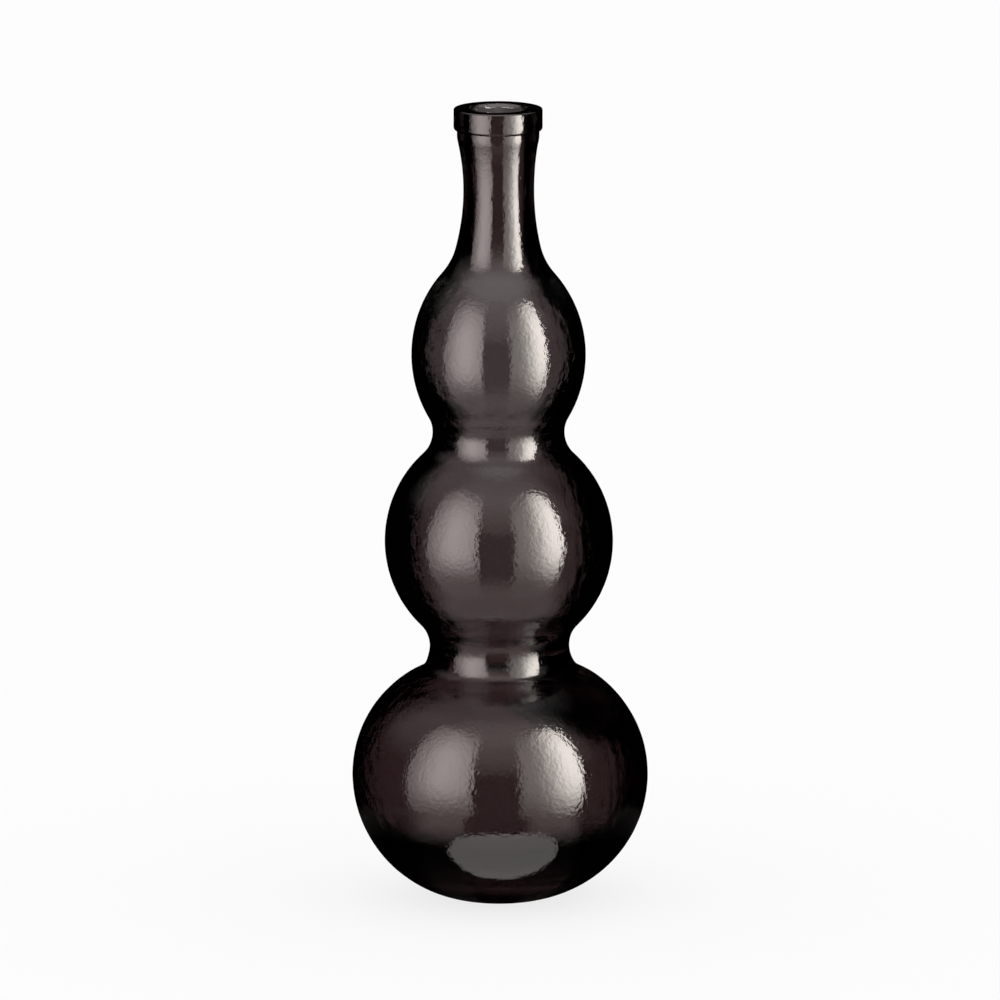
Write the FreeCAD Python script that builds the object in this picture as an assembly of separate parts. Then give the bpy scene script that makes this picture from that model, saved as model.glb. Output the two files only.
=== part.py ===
import FreeCAD, Part
import math
import os

# A blown glass bottle vase of three stacked bulbs, with a waisted neck and a ring collar.
# Z points up. The origin is on the table, at the centre of the foot. Sizes are in millimetres.
# The heights stack: each one is counted from the ring named before it, upwards from the table.

# Foot and base
foot_r = 18.8
bearing_width = 4.6
punt_height = 2.4
floor_thickness = 9.6
floor_r = 10.6

# Lower bulb, the widest
lower_bulb_r = 66.6
lower_bulb_rise = 56.1
lower_bulb_wall = 9.5

# Waist between the lower and the middle bulb
lower_waist_r = 31.4
lower_waist_rise = 59.1
lower_waist_wall = 11.2
lower_waist_sweep_below = 13.6
lower_waist_sweep_above = 14.5

# Middle bulb
middle_bulb_r = 51.3
middle_bulb_rise = 47.8
middle_bulb_wall = 12.4

# Waist between the middle and the upper bulb
upper_waist_r = 29.6
upper_waist_rise = 50.0
upper_waist_wall = 10.2
upper_waist_sweep_below = 15.0
upper_waist_sweep_above = 13.3

# Upper bulb, and the shoulder where it turns into the neck
upper_bulb_r = 39.1
upper_bulb_rise = 35.1
upper_bulb_wall = 7.9
shoulder_rise = 48.8
shoulder_sweep = 29.2

# Neck, with a straight bore
neck_narrow_r = 15.84
neck_narrow_rise = 26.2
neck_sweep = 108.4
neck_flare = 2.51
neck_top_rise = 26.9
bore_r = 11.3

# Ring collar around the mouth
collar_overhang = 1.55
collar_height = 10.0
collar_top_round = 0.8
collar_under_round = 1.5
mouth_round = 2.1

# Heights above the table of the rings that the sizes above name
lower_bulb_z = lower_bulb_rise
lower_waist_z = lower_bulb_z + lower_waist_rise
middle_bulb_z = lower_waist_z + middle_bulb_rise
upper_waist_z = middle_bulb_z + upper_waist_rise
upper_bulb_z = upper_waist_z + upper_bulb_rise
neck_foot_z = upper_bulb_z + shoulder_rise
neck_narrow_z = neck_foot_z + neck_narrow_rise
collar_z = neck_narrow_z + neck_top_rise
top_z = collar_z + collar_height

# Radii that follow the neck's
neck_top_r = neck_narrow_r + neck_flare
collar_r = neck_top_r + collar_overhang

BULGING = 1
HOLLOW = -1


def point(r, z):
    """A place in the half plane that is turned about the axis."""
    return FreeCAD.Vector(r, 0, z)


class ArcStretch:
    """A stretch of an outline that is an arc, bulging away from the axis or hollowed towards it."""

    def __init__(self, low_z, high_z, centre, radius, side):
        self.low_z = low_z
        self.high_z = high_z
        self.centre = centre
        self.radius = radius
        self.side = side

    def r(self, z):
        across = math.sqrt(max(self.radius ** 2 - (z - self.centre[1]) ** 2, 0))
        return self.centre[0] + self.side * across

    def edge(self, low_z, high_z):
        heights = (low_z, (low_z + high_z) / 2, high_z)
        return Part.Arc(*[point(self.r(z), z) for z in heights]).toShape()


class StraightStretch:
    """A stretch of an outline that runs straight up beside the axis."""

    def __init__(self, low_z, high_z, radius):
        self.low_z = low_z
        self.high_z = high_z
        self.radius = radius

    def r(self, z):
        return self.radius

    def edge(self, low_z, high_z):
        return Part.makeLine(point(self.radius, low_z), point(self.radius, high_z))


def bulb_and_sweep(bulb_r, bulb_z, sweep_centre, sweep, end_z):
    """The arc from a bulb's widest ring, and the hollow sweep that it runs into without a corner."""
    across = sweep_centre[0] - bulb_r
    along = sweep_centre[1] - bulb_z
    radius = (across ** 2 + along ** 2 - sweep ** 2) / (2 * (sweep - across))
    meeting_z = bulb_z + along * radius / (radius + sweep)
    bulb = sorted((bulb_z, meeting_z))
    hollow = sorted((meeting_z, end_z))
    stretches = [
        ArcStretch(*bulb, (bulb_r - radius, bulb_z), radius, BULGING),
        ArcStretch(*hollow, sweep_centre, sweep, HOLLOW),
    ]
    return stretches if along > 0 else stretches[::-1]


def bulb_between(bulb_r, bulb_z, below, above):
    """A bulb between two waists, each given as its radius, its height and its sweep."""
    outline = []
    for waist_r, waist_z, sweep in (below, above):
        outline += bulb_and_sweep(bulb_r, bulb_z, (waist_r + sweep, waist_z), sweep, waist_z)
    return outline


def bowl(low_r, low_z, bulb_r):
    """The arc from a low ring up to the lower bulb's widest one, where it is upright."""
    overhang = bulb_r - low_r
    rise = lower_bulb_z - low_z
    radius = (overhang ** 2 + rise ** 2) / (2 * overhang)
    return ArcStretch(low_z, lower_bulb_z, (bulb_r - radius, lower_bulb_z), radius, BULGING)


def outer_outline():
    """The outside of the glass, from the table to the underside of the collar."""
    lower_waist_below = (lower_waist_r, lower_waist_z, lower_waist_sweep_below)
    lower_waist_above = (lower_waist_r, lower_waist_z, lower_waist_sweep_above)
    upper_waist_below = (upper_waist_r, upper_waist_z, upper_waist_sweep_below)
    upper_waist_above = (upper_waist_r, upper_waist_z, upper_waist_sweep_above)

    outline = [bowl(foot_r, 0, lower_bulb_r)]

    waist_r, waist_z, sweep = lower_waist_below
    outline += bulb_and_sweep(lower_bulb_r, lower_bulb_z, (waist_r + sweep, waist_z), sweep, waist_z)
    outline += bulb_between(middle_bulb_r, middle_bulb_z, lower_waist_above, upper_waist_below)

    waist_r, waist_z, sweep = upper_waist_above
    outline += bulb_and_sweep(upper_bulb_r, upper_bulb_z, (waist_r + sweep, waist_z), sweep, waist_z)

    # The neck's long arc carries the shoulder's tighter one on the same line through both centres.
    neck_centre = (neck_narrow_r + neck_sweep, neck_narrow_z)
    down = neck_narrow_rise / neck_sweep
    inward = math.sqrt(1 - down ** 2)
    reach = neck_sweep - shoulder_sweep
    shoulder_centre = (neck_centre[0] - inward * reach, neck_centre[1] - down * reach)
    outline += bulb_and_sweep(upper_bulb_r, upper_bulb_z, shoulder_centre, shoulder_sweep, neck_foot_z)

    widening = neck_sweep + neck_narrow_r - neck_top_r
    band_z = neck_narrow_z + math.sqrt(neck_sweep ** 2 - widening ** 2)
    outline.append(ArcStretch(neck_foot_z, band_z, neck_centre, neck_sweep, HOLLOW))
    outline.append(StraightStretch(band_z, collar_z, neck_top_r))
    return outline


def inner_outline():
    """The inside of the glass, from the floor to the rounded edge of the mouth."""
    lower_r = lower_bulb_r - lower_bulb_wall
    middle_r = middle_bulb_r - middle_bulb_wall
    upper_r = upper_bulb_r - upper_bulb_wall
    lower_throat_r = lower_waist_r - lower_waist_wall
    upper_throat_r = upper_waist_r - upper_waist_wall
    lower_below = (lower_throat_r, lower_waist_z, lower_waist_sweep_below + lower_waist_wall)
    lower_above = (lower_throat_r, lower_waist_z, lower_waist_sweep_above + lower_waist_wall)
    upper_below = (upper_throat_r, upper_waist_z, upper_waist_sweep_below + upper_waist_wall)
    upper_above = (upper_throat_r, upper_waist_z, upper_waist_sweep_above + upper_waist_wall)
    bore_foot = (bore_r, neck_foot_z, shoulder_sweep)

    outline = [bowl(floor_r, floor_thickness, lower_r)]

    waist_r, waist_z, sweep = lower_below
    outline += bulb_and_sweep(lower_r, lower_bulb_z, (waist_r + sweep, waist_z), sweep, waist_z)
    outline += bulb_between(middle_r, middle_bulb_z, lower_above, upper_below)
    outline += bulb_between(upper_r, upper_bulb_z, upper_above, bore_foot)
    outline.append(StraightStretch(neck_foot_z, top_z - mouth_round, bore_r))
    return outline


OUTER = outer_outline()
INNER = inner_outline()


def stretch_at(outline, z):
    return next(s for s in outline if s.low_z <= z <= s.high_z)


def radius_at(outline, z):
    return stretch_at(outline, z).r(z)


def edges_between(outline, low_z, high_z):
    """The edges of an outline between two heights, from the lower one up."""
    edges = []
    for stretch in outline:
        start = max(stretch.low_z, low_z)
        end = min(stretch.high_z, high_z)
        if end > start:
            edges.append(stretch.edge(start, end))
    return edges


def line(start, end):
    return Part.makeLine(point(*start), point(*end))


def quarter_round(start, centre, radius, end):
    """A rounded corner from start to end, bulging away from its centre."""
    lean = radius / math.sqrt(2)
    towards_r = lean if max(start[0], end[0]) > centre[0] else -lean
    towards_z = lean if max(start[1], end[1]) > centre[1] else -lean
    middle = (centre[0] + towards_r, centre[1] + towards_z)
    return Part.Arc(point(*start), point(*middle), point(*end)).toShape()


def turned(edges):
    """The solid that a closed outline makes when it turns once about the axis."""
    face = Part.Face(Part.Wire(Part.__sortEdges__(edges)))
    axis_foot = FreeCAD.Vector(0, 0, 0)
    up = FreeCAD.Vector(0, 0, 1)
    solid = face.revolve(axis_foot, up, 360)
    if solid.Volume < 0:
        solid.reverse()
    return solid


def glass_section(low_z, high_z):
    """The glass between two level joints."""
    edges = edges_between(OUTER, low_z, high_z) + edges_between(INNER, low_z, high_z)
    for z in (low_z, high_z):
        edges.append(line((radius_at(INNER, z), z), (radius_at(OUTER, z), z)))
    return turned(edges)


def base():
    """The thick floor, level on top, with a bearing ring and a shallow hollow underneath."""
    punt_r = foot_r - bearing_width
    punt_sweep = (punt_r ** 2 + punt_height ** 2) / (2 * punt_height)
    punt_middle_r = punt_r / 2
    punt_middle_z = punt_height - punt_sweep + math.sqrt(punt_sweep ** 2 - punt_middle_r ** 2)
    punt = [point(punt_r, 0), point(punt_middle_r, punt_middle_z), point(0, punt_height)]
    edges = edges_between(OUTER, 0, floor_thickness)
    edges += [
        line((0, floor_thickness), (radius_at(OUTER, floor_thickness), floor_thickness)),
        line((0, punt_height), (0, floor_thickness)),
        Part.Arc(*punt).toShape(),
        line((punt_r, 0), (radius_at(OUTER, 0), 0)),
    ]
    return turned(edges)


def lip_collar():
    """The ring around the mouth, with softened corners and a rolled inner edge."""
    under_r = collar_r - collar_under_round
    under_z = collar_z + collar_under_round
    top_r = collar_r - collar_top_round
    shoulder_top_z = top_z - collar_top_round
    lip_r = bore_r + mouth_round
    lip_z = top_z - mouth_round
    edges = [
        line((bore_r, collar_z), (under_r, collar_z)),
        quarter_round((under_r, collar_z), (under_r, under_z), collar_under_round, (collar_r, under_z)),
        line((collar_r, under_z), (collar_r, shoulder_top_z)),
        quarter_round((collar_r, shoulder_top_z), (top_r, shoulder_top_z), collar_top_round, (top_r, top_z)),
        line((top_r, top_z), (lip_r, top_z)),
        quarter_round((lip_r, top_z), (lip_r, lip_z), mouth_round, (bore_r, lip_z)),
        line((bore_r, lip_z), (bore_r, collar_z)),
    ]
    return turned(edges)


PIECES = {
    "base": base,
    "lower_bulb": lambda: glass_section(floor_thickness, lower_waist_z),
    "middle_bulb": lambda: glass_section(lower_waist_z, upper_waist_z),
    "upper_bulb": lambda: glass_section(upper_waist_z, neck_foot_z),
    "neck": lambda: glass_section(neck_foot_z, collar_z),
    "lip_collar": lip_collar,
}

os.makedirs("parts", exist_ok=True)
for name, make in PIECES.items():
    make().exportStep("parts/" + name + ".step")
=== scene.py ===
import math

import bmesh
import bpy
import numpy as np
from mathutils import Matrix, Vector


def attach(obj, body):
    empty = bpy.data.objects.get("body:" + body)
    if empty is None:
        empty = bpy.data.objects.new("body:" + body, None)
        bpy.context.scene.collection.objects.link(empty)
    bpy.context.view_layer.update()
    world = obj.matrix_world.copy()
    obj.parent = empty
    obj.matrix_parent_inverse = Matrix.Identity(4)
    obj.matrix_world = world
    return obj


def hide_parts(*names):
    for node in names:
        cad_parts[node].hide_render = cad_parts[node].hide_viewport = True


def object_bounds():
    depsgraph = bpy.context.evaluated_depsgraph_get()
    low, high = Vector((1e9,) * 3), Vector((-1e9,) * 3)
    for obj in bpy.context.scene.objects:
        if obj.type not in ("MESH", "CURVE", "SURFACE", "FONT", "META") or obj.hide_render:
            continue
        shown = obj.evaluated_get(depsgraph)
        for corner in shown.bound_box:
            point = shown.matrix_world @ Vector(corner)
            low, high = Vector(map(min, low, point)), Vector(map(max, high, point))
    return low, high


# A smoked glass bottle vase of three stacked bulbs. Lengths are in metres, angles in degrees.

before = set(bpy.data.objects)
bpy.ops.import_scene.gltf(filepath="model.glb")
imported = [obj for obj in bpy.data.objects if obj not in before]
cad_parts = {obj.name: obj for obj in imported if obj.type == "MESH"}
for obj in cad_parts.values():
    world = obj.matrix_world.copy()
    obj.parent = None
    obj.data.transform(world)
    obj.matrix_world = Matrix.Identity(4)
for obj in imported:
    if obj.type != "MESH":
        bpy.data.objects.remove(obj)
cad_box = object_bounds()

NODES = ("base", "lower_bulb", "middle_bulb", "upper_bulb", "neck", "lip_collar")
MM = 0.001

# The turned meshes. An outline keeps its corner where it turns by more than CORNER_ANGLE. Where one step
# is more than LONG_RUN times as long as the one beside it, it has the long one's direction. One more
# point lies END_SHARE of a step from either end of a run. A level run wider than LEVEL_WIDTH, such as a
# joint, stays flat.
AROUND = 360
OUTLINE_STEP = 1.35 * MM
CORNER_ANGLE = 25
LONG_RUN = 2.5
END_SHARE = 0.06
LEVEL_WIDTH = 2.0 * MM
SMOOTH_ANGLE = 40
AXIS_REACH = 1e-7
SAME_PLACE = 1e-6
PLACE_DIGITS = 7

# The unevenness of the blown glass: the height of its waves outside and inside, the shortest and the
# longest of them, and how near to a level joint they move it only sideways
OUTER_WAVE = 0.010 * MM
INNER_WAVE = 0.045 * MM
WAVELENGTHS = (4.0 * MM, 8.0 * MM)
LEVEL_FADE = 2.0 * MM
WAVE_COUNT = 90
SEED = 7

# How far the vase leans to the camera's right, and its hollow beyond that, in mm at heights in mm
LEAN = (
    (0, 0.0), (12, 0.3), (30, 0.45), (85, 0.45), (103, 0.75), (112, 0.2), (125, 0.0),
    (165, -0.12), (213, -0.25), (250, -0.25), (285, -0.4), (323, -0.15), (350, -0.45), (360, -0.45),
)
HOLLOW_LEAN = (
    (0, 0.0), (30, -2.0), (80, -2.1), (115, 0.0), (165, -0.2), (213, 0.0), (250, -0.4), (290, 0.0),
)

# The wall is thicker inside the right shoulder of the lower bulb. Azimuths on the glass are 0 on its
# right and -90 in front.
THICK_SHOULDER = {
    "height": 98.0 * MM, "reach": 11.0 * MM, "depth": 13.0 * MM, "azimuth": 2.0, "spread": 46.0,
}

# Rings of thicker glass inside the wall: the height, the reach up and down, and the depth of each
THICK_RINGS = (
    (213.0 * MM, 4.0 * MM, 2.2 * MM), (165.0 * MM, 20.0 * MM, 1.2 * MM),
    (120.0 * MM, 4.5 * MM, 3.4 * MM), (22.0 * MM, 7.0 * MM, 4.0 * MM),
)
RING_FADE = 6.0 * MM

# Under the lower waist the outside is drawn in a little
DRAWN_IN = {"height": 106.0 * MM, "reach": 2.3 * MM, "depth": 0.55 * MM}

# Below this height every face is an outside one, as the hollow under the foot is too
UNDERSIDE_TOP = 4.0 * MM

# Air bubbles in the walls: how many in each piece, their radii, and how far across the wall they lie
BUBBLE_COUNTS = {"lower_bulb": 150, "middle_bulb": 90, "upper_bulb": 60, "neck": 30}
BUBBLE_SIZES = (0.10 * MM, 0.34 * MM)
BUBBLE_DEPTHS = (0.45, 0.80)
BUBBLE_SUBDIVISIONS = 2
LARGE_BUBBLES = (
    {"node": "lower_bulb", "azimuth": -116.0, "height": 98.5 * MM, "radii": (1.9 * MM, 1.0 * MM)},
    {"node": "upper_bulb", "azimuth": -87.0, "height": 223.0 * MM, "radii": (0.8 * MM, 0.5 * MM)},
)

# The glass is clear, and a smoke-coloured stain covers its outside. Its full strength is 1.
GLASS_IOR = 1.52
STAIN = (0.0252, 0.0131, 0.0138, 1)
WHITE = (1.0, 1.0, 1.0, 1)
STAIN_HEIGHTS = (115 * MM, 130 * MM, 195 * MM, 225 * MM, 285 * MM, 300 * MM)
STAIN_SHARES = (1.0, 0.992, 0.992, 0.977, 0.977, 1.0)

# Fine ripples in its surface: how close together, and how deep outside and inside
RIPPLE_SCALE = 600
RIPPLE_DETAIL = 2.5
OUTER_RIPPLE = 0.110 * MM
INNER_RIPPLE = 0.170 * MM

# The camera
CAMERA_ELEVATION = 11.07
CAMERA_DISTANCE = 5.76
CAMERA_TARGET = (0.0004, 0.0, 0.1816)
CAMERA_REACH = 50
FRAME_WIDTH = 0.4493
SENSOR = 36.0

# Two soft panels that only the glass mirrors. Azimuths around the vase are 0 before it and positive on
# its right. Each panel glows strongest at its own centre, and fades at its own rate towards each side,
# which is given as (towards the camera, away from it) and as (down, up). The powers that round its far
# side and shape its fade are (down, up) too.
PANEL_REACH = 0.8
PANEL_FOOT = -0.80
PANEL_STEPS = 40
PANEL_ROUNDINGS = (2.2, 5)
PANEL_FADE_POWERS = (4, 2)
LEFT_PANEL = {
    "edges": (-20.8, -76.0), "top": 1.16, "colour": (1.0, 0.885, 0.87), "glow": 5.3,
    "even_glow": 0.25, "least_glow": 0.90,
    "centre": (-45.0, 0.38), "fade": (21.0, 15.5), "rise_fade": (0.41, 0.46),
}
RIGHT_PANEL = {
    "edges": (15.4, 66.5), "top": 1.16, "colour": (1.0, 0.935, 0.87), "glow": 15.5,
    "even_glow": 1.5, "least_glow": 0.85,
    "centre": (58.5, 0.50), "fade": (12.5, 20.0), "rise_fade": (0.52, 0.46),
}

# The floor. Rays that come through the glass meet it dim within SHADOW_REACH of the vase's axis, a painted
# shadow.
FLOOR_RADIUS = 7.0
FLOOR_SIDES = 64
FLOOR_GAP = 0.05 * MM
FLOOR_COLOUR = (0.90, 0.90, 0.90, 1)
FLOOR_WHITE_SHARE = 0.80
SHADOW_REACH = 0.075

# A ray through both walls has met four surfaces of the glass. One that has met fewer was turned aside by its
# edge, and the floor and the room are painted dim for it: painted shade that darkens the edges of the glass.
SURFACES_MET = 3.5
PAINTED_SHADE_LEVEL = 0.008

# The floor's painted reflection: the lit part of the floor before the vase, a rounded oblong that is a
# painted pool of light, and the floor around it in rings, with painted shade near the vase and behind it.
# Both show in a piece of glass that is near them; in pieces further off both are as bright as the rest of
# the floor.
NEAR_RAY = (0.125, 0.150)
FAR_FLOOR_GLOW = 0.68
FLOOR_FADE = (-0.02, 0.60)
RING_STEP = 5
LIT_FLOOR = {
    "centre": (0.0040, -0.082), "reach": (0.051, 0.031), "power": 2.2, "height": -0.00007,
    "rear_glow": 1.35, "front_glow": 1.95, "ragged": 0.0012, "rows": 90,
    "colour": (1.0, 0.96, 0.91),
}
SHADED_FLOOR_REFLECTION = {
    "height": -0.00009,
    "radii": (0.002, 0.088, 0.105, 0.136, 0.180), "shares": (0.01, 0.01, 0.40, 0.86, 1.0),
    "azimuths": (-180, -66, -56, -47, -25, -20, 16, 22, 46, 56, 180),
    "glows": (0.0, 0.05, 0.45, 1.05, 1.05, 0.03, 0.03, 1.00, 1.15, 0.05, 0.0),
    "colour": (1.0, 0.89, 0.86),
}

# A soft lamp high above the vase, clear by a share that grows with the radius. How bright it is depends
# on how far below it the glass is: it is the brighter of two levels, each given for two lengths of the
# mirrored ray.
CEILING_LAMP = {
    "height": 0.62,
    "radii": (0.07, 0.15, 0.23, 0.31, 0.40, 0.50), "clear": (0.05, 0.20, 0.42, 0.65, 0.88, 1.0),
    "levels": (((0.42, 0.47), (1.80, 0.5)), ((0.44, 0.62), (0.75, 0.45))),
    "colour": (1.0, 0.95, 0.93),
}

# A glowing card behind the vase, painted light that the far wall of its open mouth shows: the light at each
# place across it
MOUTH_CARD = {
    "y": 0.10, "z": (0.270, 0.352), "colour": (0.78, 1.0, 0.93),
    "glows": ((-0.040, 0.45), (-0.008, 0.55), (0.0, 0.75), (0.008, 0.40), (0.040, 0.35)),
}

# What the glass mirrors beside the panels: heights as shares from straight down to straight up, and the
# light at each. It comes from before the vase and from straight above, and LEFT_MOST of it from its left,
# upwards only. Each fade gives how far a direction points that way where none of the light comes, and
# where all does.
MIRRORED_RISE = (
    (0.00, 0.12), (0.036, 0.30), (0.085, 0.50), (0.13, 0.68), (0.19, 0.66), (0.222, 0.50), (0.25, 0.22),
    (0.30, 0.06), (0.57, 0.05), (0.632, 0.08), (0.642, 0.42), (0.703, 0.60), (0.765, 0.85), (0.82, 1.00),
    (0.86, 1.20), (0.89, 1.30), (0.93, 1.40), (0.96, 1.40), (1.00, 0.80),
)
MIRRORED_MOST = 3.0
MIRRORED_COLOUR = (1.0, 0.90, 0.87, 1)
FRONT_FADE = (-0.02, 0.40)
CEILING_FADE = (0.90, 0.995)
LEFT_WAY = (-0.72, -0.69)
LEFT_FADE = (0.0, 0.50)
LEFT_RISE = (0.05, 0.50)
LEFT_MOST = 0.52

# The mix node's sockets for each kind of value: the share and the two values, and the result
MIX_SOCKETS = {"FLOAT": ((0, 2, 3), 0), "RGBA": ((0, 6, 7), 2)}


def bell(values, centre, reach):
    """1 at the centre, and less on both sides of it."""
    return np.exp(-((values - centre) / reach)**2 / 2)


def meridian_chains(node):
    """The runs of a turned node's outline, as lists of (r, z), read where its mesh crosses the half plane
    y = 0."""
    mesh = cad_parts[node].data
    places = {}
    for vertex in mesh.vertices:
        x, y, z = vertex.co
        if abs(y) < AXIS_REACH and x > -AXIS_REACH:
            places[vertex.index] = (round(max(x, 0.0), PLACE_DIGITS), round(z, PLACE_DIGITS))
    links = {place: set() for place in places.values()}
    for edge in mesh.edges:
        a, b = (places.get(i) for i in edge.vertices)
        level_face = a and b and a[1] == b[1] and abs(a[0] - b[0]) > LEVEL_WIDTH
        if a and b and a != b and not level_face:
            links[a].add(b)
            links[b].add(a)
    chains = []
    while links:
        start = next((p for p, near in links.items() if len(near) < 2), next(iter(links)))
        chain = [start]
        while True:
            near = links.pop(chain[-1])
            onward = [p for p in near if p in links]
            if not onward:
                break
            chain.append(onward[0])
        chains.append(np.array(chain))
    return chains


def smooth_run(chain):
    """A chain's points, closer together, on smooth curves through the given ones."""
    steps = np.diff(chain, axis=0)
    lengths = np.linalg.norm(steps, axis=1)
    ways = steps / lengths[:, None]
    leaving, arriving = ways.copy(), ways.copy()
    for i in range(1, len(chain) - 1):
        before, after = ways[i - 1], ways[i]
        turn = math.degrees(math.acos(np.clip(before @ after, -1, 1)))
        if turn > CORNER_ANGLE:
            continue
        if lengths[i - 1] > LONG_RUN * lengths[i]:
            way = before
        elif lengths[i] > LONG_RUN * lengths[i - 1]:
            way = after
        else:
            way = before * lengths[i] + after * lengths[i - 1]
            way = way / np.linalg.norm(way)
        arriving[i - 1] = way
        leaving[i] = way
    # At a free end the curve goes on bending as it did.
    if len(ways) > 1:
        leaving[0] = 2 * (ways[0] @ arriving[0]) * ways[0] - arriving[0]
        arriving[-1] = 2 * (ways[-1] @ leaving[-1]) * ways[-1] - leaving[-1]
    points = [chain[0]]
    for i, length in enumerate(lengths):
        count = max(1, math.ceil(length / OUTLINE_STEP))
        shares = list(np.arange(1, count + 1) / count)
        if i == 0:
            shares.insert(0, END_SHARE / count)
        if i == len(lengths) - 1:
            shares.insert(-1, 1 - END_SHARE / count)
        for t in shares:
            a, b = chain[i], chain[i + 1]
            u, v = leaving[i] * length, arriving[i] * length
            points.append((2 * t**3 - 3 * t**2 + 1) * a + (t**3 - 2 * t**2 + t) * u
                          + (3 * t**2 - 2 * t**3) * b + (t**3 - t**2) * v)
    return np.array(points)


def floor_radius():
    """Where the wall above the base starts, so that the base's flat top shows inside it."""
    return min(chain[chain[:, 1].argmin()][0] for chain in meridian_chains("lower_bulb"))


def closed_outline(node):
    """Each point of a node's outline, once round its section, with the way that its surface faces and
    whether the ring from it to the next point is a level joint, and whether the outline ends on the axis."""
    chains = [smooth_run(c) for c in meridian_chains(node)]
    chains.sort(key=lambda c: min(c[0][0], c[-1][0]) > AXIS_REACH)
    touches_axis = min(chains[0][0][0], chains[0][-1][0]) <= AXIS_REACH
    if not touches_axis:
        chains.sort(key=lambda c: -c[:, 0].max())
    first = chains.pop(0)
    low_end_first = first[0][0] <= AXIS_REACH if touches_axis else first[0][1] < first[-1][1]
    ordered = [first if low_end_first else first[::-1]]
    while chains:
        here = ordered[-1][-1]
        chains.sort(key=lambda c: min(abs(c[0][1] - here[1]), abs(c[-1][1] - here[1])))
        chain = chains.pop(0)
        starts_here = abs(chain[0][1] - here[1]) <= abs(chain[-1][1] - here[1])
        ordered.append(chain if starts_here else chain[::-1])
    points, facing, joint = [], [], []
    for chain in ordered:
        along = np.gradient(chain, axis=0)
        along /= np.linalg.norm(along, axis=1)[:, None]
        points.append(chain)
        facing.append(np.c_[along[:, 1], -along[:, 0]])
        # A run that ends below the mouth and above the foot ends at a joint.
        ends_at_joint = cad_box[0][2] + MM < chain[-1][1] < cad_box[1][2] - MM
        joint += [False] * (len(chain) - 1) + [ends_at_joint]
    if touches_axis:
        level = points[-1][-1][1]
        points.append([(floor_radius(), level), (0.0, level)])
        facing.append([(0.0, 1.0), (0.0, 1.0)])
        joint += [False, False]
    return np.vstack(points), np.vstack(facing), joint, touches_axis


def waves(places, seed):
    """A smooth random height, about 1 strong, at each place in space."""
    rng = np.random.default_rng(seed)
    ways = rng.normal(size=(WAVE_COUNT, 3))
    ways /= np.linalg.norm(ways, axis=1)[:, None]
    numbers = 2 * math.pi / rng.uniform(*WAVELENGTHS, WAVE_COUNT)
    starts = rng.uniform(0, 2 * math.pi, WAVE_COUNT)
    total = np.zeros(len(places))
    for way, number, start in zip(ways, numbers, starts):
        total += np.cos(places @ way * number + start)
    return total * math.sqrt(2 / WAVE_COUNT)


def smooth_table(table, z):
    """The value at each height z, both in metres, on an eased line through a table of heights and values
    in mm."""
    heights, values = np.array(table).T * MM
    i = np.clip(np.searchsorted(heights, z) - 1, 0, len(heights) - 2)
    t = np.clip((z - heights[i]) / (heights[i + 1] - heights[i]), 0, 1)
    return values[i] + (values[i + 1] - values[i]) * t * t * (3 - 2 * t)


def turned_mesh(node):
    """The node's outline turned about the axis, with the lean and the unevenness of blown glass."""
    outline, facing, joint, touches_axis = closed_outline(node)
    low_z, high_z = outline[:, 1].min(), outline[:, 1].max()
    count = len(outline)
    turn = np.arange(AROUND) * 2 * math.pi / AROUND
    r, z = outline[:, 0], outline[:, 1]
    cos, sin = np.cos(turn), np.sin(turn)
    places = np.stack([np.outer(r, cos), np.outer(r, sin), np.repeat(z[:, None], AROUND, 1)], 2)
    outside = (facing[:, 0] > 0) | (z < UNDERSIDE_TOP)
    heights = np.where(
        outside[:, None],
        OUTER_WAVE * waves(places.reshape(-1, 3), SEED).reshape(count, AROUND),
        INNER_WAVE * waves(places.reshape(-1, 3), SEED + 1).reshape(count, AROUND),
    )
    level_floor = min(chain[:, 1].min() for chain in meridian_chains("lower_bulb"))
    inside = (facing[:, 0] < 0) & (r > THICK_SHOULDER["depth"])
    swell = THICK_SHOULDER["depth"] * bell(z, THICK_SHOULDER["height"], THICK_SHOULDER["reach"])
    away = (np.degrees(turn) - THICK_SHOULDER["azimuth"] + 180) % 360 - 180
    heights += np.outer(swell * inside, bell(away, 0, THICK_SHOULDER["spread"]))
    for height, reach, depth in THICK_RINGS:
        swell = depth * bell(z, height, reach) * np.clip((z - level_floor) / RING_FADE, 0, 1)
        heights += (swell * inside)[:, None]
    dent = DRAWN_IN["depth"] * bell(z, DRAWN_IN["height"], DRAWN_IN["reach"])
    heights -= (dent * (facing[:, 0] > 0))[:, None]
    # A level joint stays level, so near it the surface moves only sideways.
    near_level = np.minimum(z - low_z, high_z - z) / LEVEL_FADE
    upright = facing[:, 1] * np.clip(near_level, 0, 1)
    places[:, :, 0] += heights * np.outer(facing[:, 0], cos)
    places[:, :, 1] += heights * np.outer(facing[:, 0], sin)
    places[:, :, 2] += heights * upright[:, None]
    places[:, :, 0] += (smooth_table(LEAN, z) + ~outside * smooth_table(HOLLOW_LEAN, z))[:, None]
    vertices = places.reshape(-1, 3)
    faces, stained, joints = [], [], []
    rings = count - 1 if touches_axis else count
    at_top = z > cad_box[1][2] - SAME_PLACE
    for i in range(rings):
        k = (i + 1) % count
        stained_here = (outside[i] and outside[k]) or (at_top[i] and at_top[k])
        stain = float(np.interp(z[i], STAIN_HEIGHTS, STAIN_SHARES)) if stained_here else 0.0
        for j in range(AROUND):
            n = (j + 1) % AROUND
            faces.append((i * AROUND + j, i * AROUND + n, k * AROUND + n, k * AROUND + j))
            stained.append(stain)
            joints.append(int(joint[i]))
    mesh = bpy.data.meshes.new(node + "_glass")
    mesh.from_pydata(vertices.tolist(), [], faces)
    mesh.attributes.new("stained", "FLOAT", "FACE").data.foreach_set("value", stained)
    mesh.polygons.foreach_set("material_index", joints)
    return mesh


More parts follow.
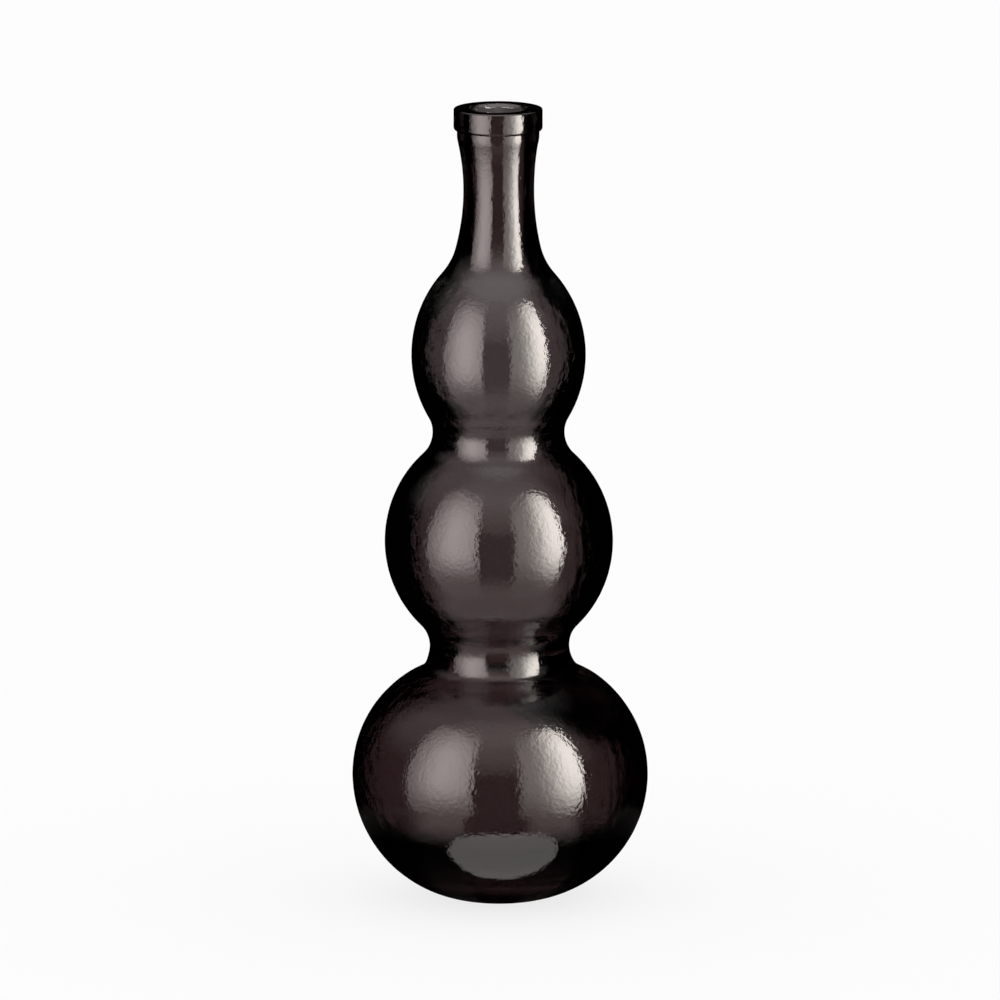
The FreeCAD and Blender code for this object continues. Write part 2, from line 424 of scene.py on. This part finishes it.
def wall_places(node):
    """The (radius, azimuth, height, radii) of each bubble in the node's wall."""
    chains = sorted((smooth_run(c) for c in meridian_chains(node)), key=lambda c: c[:, 0].max())
    inner, outer = (c[np.argsort(c[:, 1])] for c in (chains[0], chains[-1]))
    low, high = inner[0, 1] + LEVEL_FADE, inner[-1, 1] - LEVEL_FADE

    def across(z, share):
        near = np.interp(z, inner[:, 1], inner[:, 0])
        return near + (np.interp(z, outer[:, 1], outer[:, 0]) - near) * share

    rng = np.random.default_rng(SEED + len(node))
    found = []
    for _ in range(BUBBLE_COUNTS[node]):
        z = rng.uniform(low, high)
        share = rng.uniform(*BUBBLE_DEPTHS)
        azimuth = rng.uniform(-180, 180)
        radius = BUBBLE_SIZES[0] + (BUBBLE_SIZES[1] - BUBBLE_SIZES[0]) * rng.uniform() ** 2
        found.append((across(z, share), azimuth, z, (radius, radius)))
    for bubble in LARGE_BUBBLES:
        if bubble["node"] == node:
            z = bubble["height"]
            found.append((across(z, BUBBLE_DEPTHS[1]), bubble["azimuth"], z, bubble["radii"]))
    return found


def bubble_mesh(node):
    """Every bubble of the node's wall in one mesh, each a small closed shell that faces into itself."""
    ball = bmesh.new()
    bmesh.ops.create_icosphere(ball, subdivisions=BUBBLE_SUBDIVISIONS, radius=1.0)
    shell = np.array([vertex.co for vertex in ball.verts])
    sides = [[vertex.index for vertex in face.verts][::-1] for face in ball.faces]
    ball.free()
    places, faces = [], []
    for radius, azimuth, z, (wide, tall) in wall_places(node):
        a = math.radians(azimuth)
        faces += [[len(places) + i for i in side] for side in sides]
        places += (shell * (wide, wide, tall) + (radius * math.cos(a), radius * math.sin(a), z)).tolist()
    mesh = bpy.data.meshes.new(node + "_bubbles")
    mesh.from_pydata(places, [], faces)
    return mesh


def finish_mesh(mesh, node):
    """Joins the points that meet on the axis, turns the faces outwards, adds the bubbles and smooths all but
    the corners."""
    work = bmesh.new()
    work.from_mesh(mesh)
    bmesh.ops.remove_doubles(work, verts=work.verts, dist=SAME_PLACE)
    bmesh.ops.recalc_face_normals(work, faces=work.faces)
    if node in BUBBLE_COUNTS:
        bubbles = bubble_mesh(node)
        work.from_mesh(bubbles)
        bpy.data.meshes.remove(bubbles)
    work.to_mesh(mesh)
    work.free()
    mesh.shade_smooth()
    mesh.set_sharp_from_angle(angle=math.radians(SMOOTH_ANGLE))


def add_object(name, data):
    piece = bpy.data.objects.new(name, data)
    bpy.context.scene.collection.objects.link(piece)
    return piece


def bare_material(name):
    """A new material and its tree, with no nodes in it."""
    material = bpy.data.materials.new(name)
    material.use_nodes = True
    material.node_tree.nodes.clear()
    return material, material.node_tree


def feed(tree, sockets, values):
    """Gives each socket its value, or links it to the result that it takes."""
    for socket, value in zip(sockets, values):
        if isinstance(value, bpy.types.NodeSocket):
            tree.links.new(value, socket)
        else:
            socket.default_value = value


def add_math(tree, operation, *values):
    node = tree.nodes.new("ShaderNodeMath")
    node.operation = operation
    feed(tree, node.inputs, values)
    return node.outputs[0]


def add_range(tree, value, given, wanted=(0, 1), smooth=False):
    """Carries a value over from the given range to the wanted one, and holds it there beyond both ends."""
    node = tree.nodes.new("ShaderNodeMapRange")
    node.interpolation_type = "SMOOTHSTEP" if smooth else "LINEAR"
    names = ("Value", "From Min", "From Max", "To Min", "To Max")
    feed(tree, (node.inputs[name] for name in names), (value, *given, *wanted))
    return node.outputs[0]


def add_mix(tree, kind, share, first, second):
    """Mixes two numbers or two colours."""
    node = tree.nodes.new("ShaderNodeMix")
    node.data_type = kind
    sockets, result = MIX_SOCKETS[kind]
    feed(tree, (node.inputs[i] for i in sockets), (share, first, second))
    return node.outputs[result]


def add_shader(tree, kind, *values):
    """Adds a shader whose first sockets take these values."""
    node = tree.nodes.new(kind)
    feed(tree, node.inputs, values)
    return node.outputs[0]


def mesh_value(tree, name):
    """What the mesh says under this name."""
    node = tree.nodes.new("ShaderNodeAttribute")
    node.attribute_name = name
    return node.outputs["Fac"]


def show(tree, shader, output="ShaderNodeOutputMaterial"):
    tree.links.new(shader, tree.nodes.new(output).inputs["Surface"])


def glass_material():
    """Clear glass with fine ripples, and a smoke-coloured stain where the mesh says so."""
    material = bpy.data.materials.new("smoked_glass")
    material.use_nodes = True
    tree = material.node_tree
    nodes, links = tree.nodes, tree.links
    shader = nodes["Principled BSDF"]
    shader.inputs["Transmission Weight"].default_value = 1.0
    shader.inputs["IOR"].default_value = GLASS_IOR
    shader.inputs["Roughness"].default_value = 0.0
    stained = mesh_value(tree, "stained")
    links.new(add_mix(tree, "RGBA", stained, WHITE, STAIN), shader.inputs["Base Color"])
    place = nodes.new("ShaderNodeTexCoord")
    ripples = nodes.new("ShaderNodeTexNoise")
    ripples.inputs["Scale"].default_value = RIPPLE_SCALE
    ripples.inputs["Detail"].default_value = RIPPLE_DETAIL
    links.new(place.outputs["Object"], ripples.inputs["Vector"])
    depth = add_math(tree, "MULTIPLY_ADD", stained, OUTER_RIPPLE - INNER_RIPPLE, INNER_RIPPLE)
    bump = nodes.new("ShaderNodeBump")
    bump.inputs["Strength"].default_value = 1.0
    bump.inputs["Distance"].default_value = 1.0
    links.new(add_math(tree, "MULTIPLY", ripples.outputs["Fac"], depth), bump.inputs["Height"])
    links.new(bump.outputs["Normal"], shader.inputs["Normal"])
    return material


def joint_material():
    """Two pieces of glass meet face to face, and no light is lost between them."""
    material, tree = bare_material("glass_joint")
    show(tree, add_shader(tree, "ShaderNodeBsdfTransparent"))
    return material


def make_glass():
    glass, joint = glass_material(), joint_material()
    for node in NODES:
        mesh = turned_mesh(node)
        finish_mesh(mesh, node)
        mesh.materials.append(glass)
        mesh.materials.append(joint)
        piece = add_object(node + "_glass", mesh)
        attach(piece, "root")
        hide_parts(node)


def make_camera():
    """A camera before the vase, that looks down on it a little."""
    data = bpy.data.cameras.new("camera")
    data.sensor_width = SENSOR
    data.lens = SENSOR * CAMERA_DISTANCE / FRAME_WIDTH
    data.clip_end = CAMERA_REACH
    camera = add_object("camera", data)
    elevation = math.radians(CAMERA_ELEVATION)
    away = Vector((0, -math.cos(elevation), math.sin(elevation)))
    camera.location = Vector(CAMERA_TARGET) + away * CAMERA_DISTANCE
    camera.rotation_euler = (Vector(CAMERA_TARGET) - camera.location).to_track_quat("-Z", "Y").to_euler()
    bpy.context.scene.camera = camera


def glow_material(name, colour):
    """A glow as strong as the mesh says, that rays through the glass pass."""
    material, tree = bare_material(name)
    glow = add_shader(tree, "ShaderNodeEmission", (*colour, 1), mesh_value(tree, "glow"))
    passed = tree.nodes.new("ShaderNodeLightPath").outputs["Is Transmission Ray"]
    clear = add_shader(tree, "ShaderNodeBsdfTransparent")
    show(tree, add_shader(tree, "ShaderNodeMixShader", passed, glow, clear))
    return material


def add_mirrored(name, places, faces, glows, colour):
    """Adds a glowing sheet that no lens, lamp or floor sees, so that it shows only in the glass."""
    mesh = bpy.data.meshes.new(name)
    mesh.from_pydata(places, [], faces)
    mesh.attributes.new("glow", "FLOAT", "POINT").data.foreach_set("value", glows)
    mesh.materials.append(glow_material(name, colour))
    piece = add_object(name, mesh)
    piece.visible_camera = False
    piece.visible_diffuse = False
    piece.visible_shadow = False
    piece.visible_transmission = False
    return piece


def make_panel(name, panel):
    """A tall curved panel around the vase, brightest at its centre and rounded at its far side."""
    near, far = panel["edges"]
    centre, centre_z = panel["centre"]
    places, glows, faces = [], [], []
    middle, half = (panel["top"] + PANEL_FOOT) / 2, (panel["top"] - PANEL_FOOT) / 2
    for i in range(PANEL_STEPS + 1):
        across = i / PANEL_STEPS
        azimuth = near + (far - near) * across
        down, up = (half * (1 - across**power) ** (1 / power) for power in PANEL_ROUNDINGS)
        a = math.radians(azimuth)
        for j in range(PANEL_STEPS + 1):
            share = 2 * j / PANEL_STEPS - 1
            z = middle + share * (up if share > 0 else down)
            places.append((PANEL_REACH * math.sin(a), -PANEL_REACH * math.cos(a), z))
            side = (azimuth - centre) / panel["fade"][abs(azimuth) > abs(centre)]
            rise = abs(z - centre_z) / panel["rise_fade"][z > centre_z]
            level = math.exp(-rise ** PANEL_FADE_POWERS[z > centre_z] / 2)
            glow = panel["glow"] * math.exp(-side**2 / 2) + panel["even_glow"]
            glows.append(glow * level + panel["least_glow"])
    column = PANEL_STEPS + 1
    for i in range(PANEL_STEPS):
        for j in range(PANEL_STEPS):
            a = i * column + j
            faces.append((a, a + 1, a + column + 1, a + column))
    add_mirrored(name, places, faces, glows, panel["colour"])


def front_share(x, y):
    """How much of the floor's light is left at a place: all of it before the vase and none behind it."""
    low, high = FLOOR_FADE
    t = min(max((-y / math.hypot(x, y) - low) / (high - low), 0), 1)
    return t * t * (3 - 2 * t)


def dim_when_far(piece):
    """Makes the sheet's glow that of the far floor where it is seen from further off."""
    mesh = piece.data
    glows = [FAR_FLOOR_GLOW * front_share(vertex.co.x, vertex.co.y) for vertex in mesh.vertices]
    mesh.attributes.new("far_glow", "FLOAT", "POINT").data.foreach_set("value", glows)
    tree = mesh.materials[0].node_tree
    far = add_range(tree, tree.nodes["Light Path"].outputs["Ray Length"], NEAR_RAY)
    near_glow = tree.nodes["Attribute"].outputs["Fac"]
    light = add_mix(tree, "FLOAT", far, near_glow, mesh_value(tree, "far_glow"))
    tree.links.new(light, tree.nodes["Emission"].inputs["Strength"])


def make_lit_floor():
    """A painted reflection of a pool of light on the floor: a patch in rows from the vase outwards, with a
    ragged edge.
    """
    (cx, cy), (rx, ry) = LIT_FLOOR["centre"], LIT_FLOOR["reach"]
    power, rows = LIT_FLOOR["power"], LIT_FLOOR["rows"]
    rng = np.random.default_rng(SEED)
    places, glows = [], []
    for i in range(rows + 1):
        share = 2 * i / rows - 1
        half = rx * max(1 - abs(share) ** power, 0) ** (1 / power)
        glow = LIT_FLOOR["rear_glow"] + (LIT_FLOOR["front_glow"] - LIT_FLOOR["rear_glow"]) * (1 + share) / 2
        for side in (-1, 1):
            x = cx + side * (half + rng.normal() * LIT_FLOOR["ragged"])
            places.append((x, cy - share * ry, LIT_FLOOR["height"]))
            glows.append(glow)
    faces = [(i, i + 1, i + 3, i + 2) for i in range(0, len(places) - 2, 2)]
    dim_when_far(add_mirrored("lit_floor", places, faces, glows, LIT_FLOOR["colour"]))


def ring_sheet(radii, height):
    """The turn of each point of a ring, and the places and faces of a level sheet of such rings."""
    turn = [math.radians(a) for a in range(0, 360, RING_STEP)]
    count = len(turn)
    places = [(r * math.cos(a), r * math.sin(a), height) for r in radii for a in turn]
    faces = [
        (k * count + i, k * count + (i + 1) % count, (k + 1) * count + (i + 1) % count, (k + 1) * count + i)
        for k in range(len(radii) - 1) for i in range(count)
    ]
    return turn, places, faces


def make_shaded_floor_reflection():
    """The floor's painted reflection round the lit patch, with painted shade near the vase. Its glow goes by
    the azimuth, with a share of it in each ring.
    """
    turn, places, faces = ring_sheet(SHADED_FLOOR_REFLECTION["radii"], SHADED_FLOOR_REFLECTION["height"])
    azimuths = [math.degrees(math.atan2(math.cos(a), -math.sin(a))) for a in turn]
    around = np.interp(azimuths, SHADED_FLOOR_REFLECTION["azimuths"], SHADED_FLOOR_REFLECTION["glows"])
    glows = [share * glow for share in SHADED_FLOOR_REFLECTION["shares"] for glow in around]
    dim_when_far(add_mirrored("shaded_floor_reflection", places, faces, glows, SHADED_FLOOR_REFLECTION["colour"]))


def make_ceiling_lamp():
    """A round lamp whose glow fades out towards its rim. Its mesh says how clear it is, not how bright."""
    turn, places, faces = ring_sheet(CEILING_LAMP["radii"], CEILING_LAMP["height"])
    clear = [share for share in CEILING_LAMP["clear"] for _ in turn]
    faces = [range(len(turn))] + faces
    lamp = add_mirrored("ceiling_lamp", places, faces, clear, CEILING_LAMP["colour"])
    tree = lamp.data.materials[0].node_tree
    path = tree.nodes["Light Path"]
    seen_through = add_math(tree, "MAXIMUM", path.outputs["Is Transmission Ray"],
                            tree.nodes["Attribute"].outputs["Fac"])
    tree.links.new(seen_through, tree.nodes["Mix Shader"].inputs[0])
    levels = [add_range(tree, path.outputs["Ray Length"], *level) for level in CEILING_LAMP["levels"]]
    tree.links.new(add_math(tree, "MAXIMUM", *levels), tree.nodes["Emission"].inputs["Strength"])


def make_mouth_card():
    """A glowing card, painted light that shows through the far wall of the open mouth, and is clear to rays
    that have gone through both walls."""
    places, glows = [], []
    for x, glow in MOUTH_CARD["glows"]:
        for z in MOUTH_CARD["z"]:
            places.append((x, MOUTH_CARD["y"], z))
            glows.append(glow)
    faces = [(i, i + 2, i + 3, i + 1) for i in range(0, len(places) - 2, 2)]
    card = add_mirrored("mouth_card", places, faces, glows, MOUTH_CARD["colour"])
    card.visible_glossy = False
    card.visible_transmission = True
    tree = card.data.materials[0].node_tree
    met = tree.nodes["Light Path"].outputs["Transmission Depth"]
    tree.links.new(add_math(tree, "GREATER_THAN", met, SURFACES_MET), tree.nodes["Mix Shader"].inputs[0])


def thin_glass_ray(tree):
    """A light path, and 1 for a ray that left the glass before it went through both of its walls."""
    path = tree.nodes.new("ShaderNodeLightPath")
    shallow = add_math(tree, "LESS_THAN", path.outputs["Transmission Depth"], SURFACES_MET)
    return path, add_math(tree, "MULTIPLY", path.outputs["Is Transmission Ray"], shallow)


def make_floor():
    """A pale floor that takes the vase's shadow, and is white to the eye and through the glass, but for a
    painted shadow beneath the vase and painted shade at the glass's edges.
    """
    turn = [2 * math.pi * i / FLOOR_SIDES for i in range(FLOOR_SIDES)]
    mesh = bpy.data.meshes.new("floor")
    ring = [(FLOOR_RADIUS * math.cos(a), FLOOR_RADIUS * math.sin(a), -FLOOR_GAP) for a in turn]
    mesh.from_pydata(ring, [], [range(FLOOR_SIDES)])
    floor = add_object("floor", mesh)
    floor.visible_glossy = False
    material, tree = bare_material("pale_floor")
    path, thin = thin_glass_ray(tree)
    seen_through = path.outputs["Is Transmission Ray"]
    away = tree.nodes.new("ShaderNodeVectorMath")
    away.operation = "LENGTH"
    tree.links.new(tree.nodes.new("ShaderNodeTexCoord").outputs["Object"], away.inputs[0])
    # Rays through the glass find the floor dim under the vase: a painted shadow.
    in_painted_shadow = add_math(tree, "LESS_THAN", away.outputs["Value"], SHADOW_REACH)
    dimmed = add_math(tree, "MAXIMUM", thin, add_math(tree, "MULTIPLY", in_painted_shadow, seen_through))
    seen = add_math(tree, "MAXIMUM", path.outputs["Is Camera Ray"], seen_through)
    paint = add_shader(tree, "ShaderNodeBsdfDiffuse", FLOOR_COLOUR)
    white = add_shader(tree, "ShaderNodeEmission", WHITE, 1.0)
    # The painted shade at the glass's edges and the painted shadow under the vase.
    dark = add_shader(tree, "ShaderNodeEmission", WHITE, PAINTED_SHADE_LEVEL)
    whitened = add_math(tree, "MULTIPLY", seen, FLOOR_WHITE_SHARE)
    shown = add_shader(tree, "ShaderNodeMixShader", whitened, paint, white)
    show(tree, add_shader(tree, "ShaderNodeMixShader", dimmed, shown, dark))
    mesh.materials.append(material)


def mirrored_light(tree):
    """The light of the room in the glass: a curve over the height, in the directions that it comes from."""
    place = tree.nodes.new("ShaderNodeTexCoord")
    way = tree.nodes.new("ShaderNodeSeparateXYZ")
    tree.links.new(place.outputs["Generated"], way.inputs[0])
    x, y, z = way.outputs
    rise = tree.nodes.new("ShaderNodeFloatCurve")
    curve = rise.mapping.curves[0]
    rise.mapping.extend = "HORIZONTAL"
    # A new curve has two points already.
    for i, (share, light) in enumerate(MIRRORED_RISE):
        level = light / MIRRORED_MOST
        point = curve.points[i] if i < 2 else curve.points.new(share, level)
        point.location = (share, level)
        point.handle_type = "VECTOR"
    rise.mapping.update()
    tree.links.new(add_range(tree, z, (-1, 1)), rise.inputs["Value"])
    front = add_range(tree, add_math(tree, "MULTIPLY", y, -1), FRONT_FADE, smooth=True)
    ceiling = add_range(tree, z, CEILING_FADE, smooth=True)
    leftward = add_math(tree, "MULTIPLY_ADD", x, LEFT_WAY[0], add_math(tree, "MULTIPLY", y, LEFT_WAY[1]))
    left = add_range(tree, leftward, LEFT_FADE, (0, LEFT_MOST), smooth=True)
    left = add_math(tree, "MULTIPLY", left, add_range(tree, z, LEFT_RISE))
    share = add_math(tree, "MAXIMUM", add_math(tree, "MAXIMUM", front, ceiling), left)
    light = add_math(tree, "MULTIPLY", rise.outputs[0], MIRRORED_MOST)
    return add_math(tree, "MULTIPLY", light, share)


def make_surroundings():
    """A room that is white to the eye and through the glass, and dim where the glass mirrors it."""
    world = bpy.data.worlds.new("studio")
    bpy.context.scene.world = world
    world.use_nodes = True
    tree = world.node_tree
    tree.nodes.clear()
    path, thin = thin_glass_ray(tree)
    # Rays turned aside by the glass's edge see the room dim: painted shade.
    through = add_math(tree, "MULTIPLY_ADD", thin, PAINTED_SHADE_LEVEL - 1, 1)
    # A ray that goes through the glass counts as a glossy ray as well, so that is taken off.
    glossy, passed = path.outputs["Is Glossy Ray"], path.outputs["Is Transmission Ray"]
    only_mirrored = add_math(tree, "GREATER_THAN", glossy, passed)
    strength = add_mix(tree, "FLOAT", only_mirrored, through, mirrored_light(tree))
    tint = add_mix(tree, "RGBA", only_mirrored, WHITE, MIRRORED_COLOUR)
    light = add_shader(tree, "ShaderNodeBackground", tint, strength)
    show(tree, light, "ShaderNodeOutputWorld")


make_glass()
make_camera()
make_panel("left_panel", LEFT_PANEL)
make_panel("right_panel", RIGHT_PANEL)
make_lit_floor()
make_shaded_floor_reflection()
make_ceiling_lamp()
make_mouth_card()
make_floor()
make_surroundings()
bpy.context.scene.view_settings.view_transform = "Standard"
